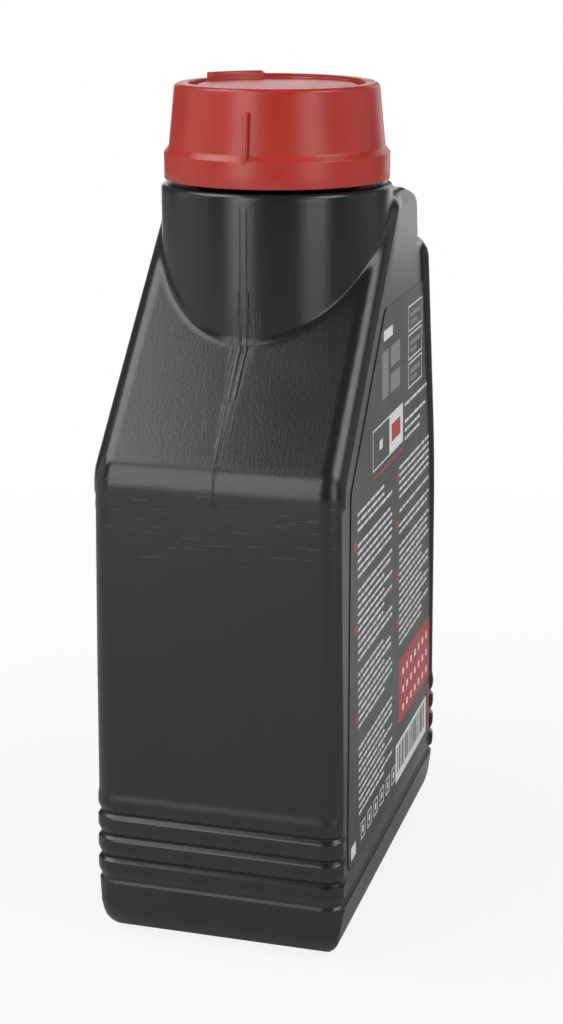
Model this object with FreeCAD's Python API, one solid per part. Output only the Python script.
# A one-litre motor oil bottle: a blow-moulded bottle with a screw cap, a sealing disc and two labels.
#
# Frame: +Z up, the base on Z = 0, the neck's axis on X = 0, Y = 0. The sloped shoulder and the round
# collar face +X. The broad faces look along +Y (printed information) and -Y (main label).
import FreeCAD, Part
import math
import os

V = FreeCAD.Vector

# Bottle body
body_width = 110.5          # narrow face to narrow face at the foot
body_depth = 64.0           # broad face to broad face at mid height
mid_height = 76.4
broad_draft = 0.0099        # how much each broad face leans in per millimetre of height
wall = 1.2                  # blown wall
edge_round = 5.6            # the rounding between broad and narrow faces
foot_round = 7.0            # narrow faces into the base
near_lean = 0.65            # the narrow face below the slope leans in by this much
slope_rise = 59.8           # from the bend into the slope up to the block's top
shoulder_round = 12.0
slope_angle = 46.8          # slope against the horizontal, in degrees
far_bend_height = 104.0     # where the other narrow face starts to lean in
far_shoulder_x = -43.0
far_shoulder_drop = 14.1    # from the block's top down to the other shoulder
far_shoulder_round = 7.0

# Block behind the collar
block_back_x = -32.5
block_top = 182.8
block_back_lean = 1.4       # its back leans in by this much up to its top
block_back_round = 6.0
block_front_round = 8.0
block_step_round = 1.2
block_flush = 22.4          # over this height the block is flush with the panels

# Panels in the broad faces
panel_border = 6.0          # the raised border round each panel
block_border = 9.3          # between the slope and the flush side of the block
panel_low_height = 17.5
panel_low_sink = 0.45       # how far the panel lies under the broad face, low down
panel_high_half_depth = 29.55   # half of the depth between the panels at the block's top
crease_height = 16.5
crease_depth = 0.5
crease_width = 1.6
foot_band_inset = 2.4       # the broad side pulls in by this much from the crease to the base
foot_band_round = 3.0

# Ribs round the two narrow faces
rib_count = 4
rib_pitch = 5.96
rib_lowest = 14.9           # lower edge of the lowest groove
rib_bulge = 0.7
groove_depth = 1.3
groove_height = 2.3
groove_floor = 0.6          # the deepest line lies this far above the groove's lower edge
belt_lead = 1.4             # ramp from the plain face out to the ribs
belt_seam = 0.05            # how far the belt's two ends stand proud of the plain face

# Pushed-up base
pushup_inset = 13.2
pushup_height = 2.2
pushup_flare = 4.0
pushup_round = 10.0

# Collar and neck
collar_radius = 29.1
collar_rise = 3.4           # from the block's top up to the collar's top
collar_top_round = 1.5
collar_root = 40.0          # how far the collar reaches down into the body, below its top
neck_radius = 19.5
neck_wall = 2.0
neck_length = 20.5
rim_steps = 3               # straight steps in the rounded rims of collar and cap

# Cap
cap_gap = 1.0               # between collar and cap rim
cap_rim_radius = 28.3
cap_band_height = 6.7
cap_ledge = 1.25
cap_ledge_height = 1.5
cap_top_radius = 25.6
cap_wall = 1.5
cap_edge_round = 1.2
cap_ring_width = 3.6        # flat ring round the top
cap_groove_width = 2.2
cap_groove_depth = 1.2
cap_disc_sink = 0.5
cap_plate = 1.6
thread_room = 1.8           # between neck and inner skirt, for the thread
inner_skirt_wall = 1.3
inner_skirt_length = 14.0
lip_width = 2.6
lip_edge = 0.6              # lip to the cap's outer edge
lip_high = 1.35
lip_low = 0.65
lip_start = -118.0          # angles round the neck axis, in degrees
lip_step = -154.5
lip_end = -242.0
fin_width = 1.25
fin_height = 12.0
fin_reach = 1.0
liner_thickness = 1.0
liner_clearance = 0.4

# Labels
label_thickness = 0.2
label_round = 5.0
label_low = 21.5
label_drop = 26.3           # from the block's top down to the label
label_near_inset = 6.2      # label to narrow face at its lower edge
label_near_lean = 5.0       # its near edge leans in by this much up to the slope
label_slope_inset = 11.5    # label to the slope, square to it
label_far_inset = 6.4

# Values worked out from these
shoulder_height = block_top - slope_rise
far_shoulder_height = block_top - far_shoulder_drop
block_start = block_top - block_flush
label_high = block_top - label_drop
near_x = body_width / 2
far_x = -body_width / 2
near_top_x = near_x - near_lean
slope_run = 1 / math.tan(math.radians(slope_angle))
block_front_x = near_top_x - (block_top - shoulder_height) * slope_run
total_depth = 2 * body_depth
belt_top = rib_lowest + rib_count * rib_pitch + belt_lead
collar_top = block_top + collar_rise
neck_top = collar_top + neck_length
cap_rim = collar_top + cap_gap
plate_bottom = neck_top + liner_thickness
plate_top = plate_bottom + cap_plate
cap_top = plate_top + cap_groove_depth


def broad_half_depth(z):
    """Half of the body's depth at height z."""
    return body_depth / 2 - broad_draft * (z - mid_height)


panel_low_half_depth = broad_half_depth(panel_low_height) - panel_low_sink
panel_lean = (panel_low_half_depth - panel_high_half_depth) / (block_top - panel_low_height)


def panel_half_depth(z):
    """Half of the depth between the two panels at height z."""
    return panel_low_half_depth - panel_lean * (z - panel_low_height)


def near_face_x(z):
    """The near narrow face at height z, below the shoulder."""
    return near_x - near_lean * z / shoulder_height


def rounded_outline(corners, place):
    """A closed wire through corners (a, b, radius), each rounded. place turns (a, b) into a point."""
    edges = []
    first = None
    last = None
    for number, (a, b, radius) in enumerate(corners):
        corner = place(a, b)
        before = place(*corners[number - 1][:2])
        after = place(*corners[(number + 1) % len(corners)][:2])
        back = (before - corner).normalize()
        ahead = (after - corner).normalize()
        if radius > 0:
            half = back.getAngle(ahead) / 2
            reach = radius / math.tan(half)
            middle = (back + ahead).normalize()
            start = corner + back * reach
            end = corner + ahead * reach
            crown = corner + middle * (radius / math.sin(half) - radius)
            arc = Part.Arc(start, crown, end).toShape()
        else:
            start = corner
            end = corner
            arc = None
        if last is None:
            first = start
        else:
            edges.append(Part.makeLine(last, start))
        if arc is not None:
            edges.append(arc)
        last = end
    edges.append(Part.makeLine(last, first))
    return Part.Wire(edges)


def on_side(x, z):
    """A point of an outline seen from the broad side."""
    return V(x, 0, z)


def side_prism(wire):
    """A side outline as a solid across the whole depth."""
    face = Part.Face(wire)
    face.translate(V(0, -body_depth, 0))
    return face.extrude(V(0, total_depth, 0))


def end_prism(points, low_x, high_x):
    """An outline in Y and Z as a solid from low_x to high_x."""
    wire = Part.makePolygon([V(low_x, y, z) for y, z in points + points[:1]])
    return Part.Face(wire).extrude(V(high_x - low_x, 0, 0))


def box(low, high):
    """A box between two corners."""
    size = [high[i] - low[i] for i in range(3)]
    return Part.makeBox(*size, V(*low))


def body_outline():
    """The body and the block behind the collar, seen from the broad side."""
    return rounded_outline([
        (near_x, 0, foot_round),
        (near_top_x, shoulder_height, shoulder_round),
        (block_front_x, block_top, block_front_round),
        (block_back_x + block_back_lean, block_top, block_back_round),
        (block_back_x, far_shoulder_height, block_step_round),
        (far_shoulder_x, far_shoulder_height, far_shoulder_round),
        (far_x, far_bend_height, 0),
        (far_x, 0, foot_round),
    ], on_side)


def inset_outline(wire, inset):
    """The outline moved inwards by inset."""
    if inset == 0:
        return wire
    return wire.makeOffset2D(-inset)


def drafted_body(inset):
    """The body with its leaning broad faces and rounded edges."""
    solid = side_prism(inset_outline(body_outline(), inset))
    top = block_top + wall
    low_half = broad_half_depth(0) - inset
    high_half = broad_half_depth(top) - inset
    wedge = end_prism([(-low_half, 0), (low_half, 0), (high_half, top), (-high_half, top)],
                      far_x - wall, near_x + wall)
    solid = solid.common(wedge)
    rims = []
    for face in solid.Faces:
        normal = face.normalAt(0, 0)
        if abs(normal.y) > math.cos(math.radians(5)):
            rims.extend(face.Edges)
    return solid.makeFillet(edge_round - inset, rims)


def ring_wire(z, bulge):
    """The horizontal outline of the lower body at height z, moved outwards by bulge."""
    near = near_face_x(z) + bulge
    far = far_x - bulge
    half = broad_half_depth(z) + bulge
    radius = edge_round + bulge
    return rounded_outline([(far, -half, radius), (near, -half, radius), (near, half, radius),
                            (far, half, radius)], lambda x, y: V(x, y, z))


def rib_belt(inset):
    """The grooved belt round the lower body."""
    steps = [(rib_lowest, belt_seam)]
    for number in range(rib_count):
        low = rib_lowest + number * rib_pitch
        if number > 0:
            steps.append((low, rib_bulge))
        steps.append((low + groove_floor, rib_bulge - groove_depth))
        steps.append((low + groove_height, rib_bulge))
    steps.append((belt_top - belt_lead, rib_bulge))
    steps.append((belt_top, belt_seam))
    return Part.makeLoft([ring_wire(z, bulge - inset) for z, bulge in steps], True, True)


def panel_side(inset, direction):
    """All that lies outside one panel's plane."""
    low = panel_half_depth(0) - inset
    high = panel_half_depth(block_top) - inset
    far = body_depth
    points = [(low, 0), (far, 0), (far, block_top), (high, block_top)]
    return end_prism([(direction * y, z) for y, z in points], far_x - wall, near_x + wall)


def panel_area(inset):
    """Where the broad faces lie on the panel's plane: inside the raised border, and all of the block.

    The border keeps its wall: inside the bottle it is narrower by one inset on each side.
    """
    area = side_prism(inset_outline(body_outline(), panel_border - inset))
    area = area.common(box((far_x, -body_depth, crease_height - inset), (near_x, body_depth, block_top)))
    block = box((block_back_x - inset, -body_depth, block_start - inset),
                (near_x, body_depth, block_top + wall))
    shift = (block_border - inset) / math.sin(math.radians(slope_angle))
    foot_x = block_front_x - shift + (block_top - block_start + inset) * slope_run
    top_x = block_front_x - shift - wall * slope_run
    front = Part.makePolygon([V(block_back_x - inset, 0, block_start - inset), V(foot_x, 0, block_start - inset),
                              V(top_x, 0, block_top + wall), V(block_back_x - inset, 0, block_top + wall),
                              V(block_back_x - inset, 0, block_start - inset)])
    return area.fuse(block.common(side_prism(front)))


def foot_profile(inset):
    """The body's end outline: plain above the crease, drawn in below it, round at the base."""
    half = broad_half_depth(crease_height) - inset
    foot = half - foot_band_inset
    radius = foot_band_round - inset
    top = block_top + wall
    wire = rounded_outline([(-foot, inset, radius), (foot, inset, radius), (half, crease_height, 0),
                            (half, top, 0), (-half, top, 0), (-half, crease_height, 0)],
                           lambda y, z: V(far_x - wall, y, z))
    return Part.Face(wire).extrude(V(body_width + 2 * wall, 0, 0))


def crease_cutter(inset, direction):
    """The V groove along the foot of one panel."""
    face_y = panel_half_depth(crease_height) - inset
    points = [(face_y - crease_depth, crease_height), (face_y + wall, crease_height - crease_width),
              (face_y + wall, crease_height + crease_width)]
    reach = near_x - edge_round / 2
    return end_prism([(direction * y, z) for y, z in points], -reach, reach)


def pushup(growth):
    """The hollow under the base. growth moves its walls outwards and its top up."""
    wires = []
    for z, shrink in ((0, 0), (pushup_height + growth, pushup_flare)):
        half_x = near_x - pushup_inset - shrink + growth
        half_y = broad_half_depth(0) - pushup_inset - shrink + growth
        radius = pushup_round - shrink + growth
        wires.append(rounded_outline([(-half_x, -half_y, radius), (half_x, -half_y, radius),
                                      (half_x, half_y, radius), (-half_x, half_y, radius)],
                                     lambda x, y: V(x, y, z)))
    return Part.makeLoft(wires, True, True)


def rounded_rim(radius, height, rounding):
    """Outline points of a rounded top rim, from its side up to its top, in short straight steps."""
    points = []
    for step in range(rim_steps + 1):
        turn = math.pi / 2 * step / rim_steps
        points.append((radius - rounding + rounding * math.cos(turn),
                       height - rounding + rounding * math.sin(turn)))
    return points


def revolved(points):
    """A closed outline in radius and height, turned round the neck axis."""
    wire = Part.makePolygon([V(r, 0, z) for r, z in points + points[:1]])
    return Part.Face(wire).revolve(V(0, 0, 0), V(0, 0, 1), 360)


def collar(inset):
    """The round collar under the cap. Only its outside has the rounded top edge."""
    foot = collar_top - collar_root
    if inset > 0:
        return Part.makeCylinder(collar_radius - inset, collar_root - inset, V(0, 0, foot))
    rim = rounded_rim(collar_radius, collar_top, collar_top_round)
    return revolved([(0, foot), (collar_radius, foot)] + rim + [(0, collar_top)])


def blown_form(inset):
    """The whole blown form without its neck, with every face moved inwards by inset."""
    belt_box = box((far_x - wall, -body_depth, rib_lowest), (near_x + wall, body_depth, belt_top))
    solid = drafted_body(inset).cut(belt_box).fuse(rib_belt(inset))
    area = panel_area(inset)
    for direction in (1, -1):
        solid = solid.cut(area.common(panel_side(inset, direction)))
    core = area.cut(panel_side(inset, 1)).cut(panel_side(inset, -1))
    core = core.common(belt_box)
    solid = solid.fuse(core).common(foot_profile(inset))
    for direction in (1, -1):
        solid = solid.cut(crease_cutter(inset, direction))
    return solid.fuse(collar(inset))


def bottle_shell():
    """The bottle: its blown form, hollowed, with the neck on the collar."""
    outer = blown_form(0).cut(pushup(0))
    inner = blown_form(wall).cut(pushup(wall))
    neck = Part.makeCylinder(neck_radius, neck_length + wall, V(0, 0, collar_top - wall))
    bore = Part.makeCylinder(neck_radius - neck_wall, neck_length + 3 * wall, V(0, 0, collar_top - 2 * wall))
    return outer.fuse(neck).cut(inner).cut(bore).removeSplitter(), inner.fuse(bore)


def cap_lip():
    """The crescent lip on the cap's top: a high part, then a lower one that runs out."""
    outer = cap_top_radius - lip_edge
    inner = outer - lip_width
    root = cap_top - lip_low

    def arc(height, start, end):
        wire = Part.makePolygon([V(inner, 0, root), V(outer, 0, root), V(outer, 0, cap_top + height),
                                 V(inner, 0, cap_top + height), V(inner, 0, root)])
        solid = Part.Face(wire).revolve(V(0, 0, 0), V(0, 0, 1), start - end)
        solid.rotate(V(0, 0, 0), V(0, 0, 1), end)
        return solid

    high = arc(lip_high, lip_start, lip_step)
    low = arc(lip_low, lip_step, lip_end)
    fall = math.degrees(math.atan(lip_low / (2 * cap_top_radius)))
    above = Part.makeBox(8 * cap_top_radius, 8 * cap_top_radius, 4 * lip_high,
                         V(-4 * cap_top_radius, -4 * cap_top_radius, 0))
    above.rotate(V(0, 0, 0), V(0, 1, 0), fall)
    above.rotate(V(0, 0, 0), V(0, 0, 1), lip_step)
    middle = math.tan(math.radians(fall)) * cap_top_radius
    above.translate(V(0, 0, cap_top + lip_low - middle))
    return high.fuse(low.cut(above))


def screw_cap():
    """The cap: outer skirt with its band and ledge, sunk top, inner skirt, fin and lip."""
    band_top = cap_rim + cap_band_height
    cone_foot = band_top + cap_ledge_height
    cone_foot_radius = cap_rim_radius - cap_ledge
    skirt = revolved([(cap_rim_radius, cap_rim), (cap_rim_radius, band_top), (cone_foot_radius, cone_foot)]
                     + rounded_rim(cap_top_radius, cap_top, cap_edge_round) + [(0, cap_top), (0, cap_rim)])
    fin = end_prism([(-fin_width / 2, band_top - cap_ledge_height / 2),
                     (fin_width / 2, band_top - cap_ledge_height / 2),
                     (fin_width / 2, band_top - cap_ledge_height / 2 + fin_height),
                     (-fin_width / 2, band_top - cap_ledge_height / 2 + fin_height)],
                    cap_top_radius - cap_wall / 2, cap_rim_radius)
    tilt = math.degrees(math.atan(fin_reach / fin_height))
    shaver = Part.makeBox(4 * fin_reach, 4 * fin_width, 3 * fin_height,
                          V(0, -2 * fin_width, -fin_height / 2))
    shaver.rotate(V(0, 0, 0), V(0, 1, 0), -tilt)
    shaver.translate(V(cap_rim_radius, 0, band_top - cap_ledge_height / 2))
    solid = skirt.fuse(fin.cut(shaver)).fuse(cap_lip())
    ring_inner = cap_top_radius - cap_ring_width
    disc_radius = ring_inner - cap_groove_width
    solid = solid.cut(revolved([(disc_radius, plate_top), (ring_inner, plate_top), (ring_inner, cap_top),
                                (0, cap_top), (0, cap_top - cap_disc_sink),
                                (disc_radius, cap_top - cap_disc_sink)]))
    inner_skirt_radius = neck_radius + thread_room
    outer_face = inner_skirt_radius + inner_skirt_wall
    solid = solid.cut(revolved([(0, cap_rim), (cap_rim_radius - cap_wall, cap_rim),
                                (cap_rim_radius - cap_wall, band_top - cap_wall / 2),
                                (cone_foot_radius - cap_wall, cone_foot - cap_wall / 2),
                                (cap_top_radius - cap_wall, plate_bottom), (0, plate_bottom)]))
    inner_skirt = revolved([(inner_skirt_radius, plate_bottom - inner_skirt_length),
                            (outer_face, plate_bottom - inner_skirt_length),
                            (outer_face, plate_bottom + cap_plate / 2),
                            (inner_skirt_radius, plate_bottom + cap_plate / 2)])
    return solid.fuse(inner_skirt).removeSplitter()


def cap_liner():
    """The sealing disc between the neck's land and the cap."""
    radius = neck_radius + thread_room - liner_clearance
    return Part.makeCylinder(radius, liner_thickness, V(0, 0, neck_top))


def label(direction):
    """A thin label on one panel, inside the raised border."""
    slope_shift = label_slope_inset / math.sin(math.radians(slope_angle))
    low_x = near_face_x(label_low) - label_near_inset
    bend_x = near_top_x - label_near_inset - label_near_lean
    bend_z = shoulder_height + (near_top_x - slope_shift - bend_x) / slope_run
    top_x = near_top_x - slope_shift - (label_high - shoulder_height) * slope_run
    far_lean = (far_shoulder_x - far_x) / (far_shoulder_height - far_bend_height)
    far_top_x = far_x + label_far_inset + (label_high - far_bend_height) * far_lean
    outline = rounded_outline([
        (low_x, label_low, label_round),
        (bend_x, bend_z, label_round),
        (top_x, label_high, label_round),
        (far_top_x, label_high, label_round),
        (far_x + label_far_inset, far_bend_height, 0),
        (far_x + label_far_inset, label_low, label_round),
    ], on_side)
    solid = side_prism(outline).common(panel_side(0, direction))
    return solid.cut(panel_side(-label_thickness, direction))


def main():
    os.makedirs("parts", exist_ok=True)
    shell, cavity = bottle_shell()
    parts = {
        "bottle_shell": shell,
        "screw_cap": screw_cap(),
        "cap_liner": cap_liner(),
        "info_label": label(1),
        "front_label": label(-1),
    }
    for name, shape in parts.items():
        size = shape.BoundBox
        print(name, "valid", shape.isValid(), "solids", len(shape.Solids), "faces", len(shape.Faces),
              "volume cm3 %.1f" % (shape.Volume / 1000),
              "x %.1f %.1f y %.1f %.1f z %.1f %.1f" % (size.XMin, size.XMax, size.YMin, size.YMax,
                                                       size.ZMin, size.ZMax))
        shape.exportStep("parts/%s.step" % name)
    print("brimful volume in ml: %.0f" % (cavity.Volume / 1000))


main()
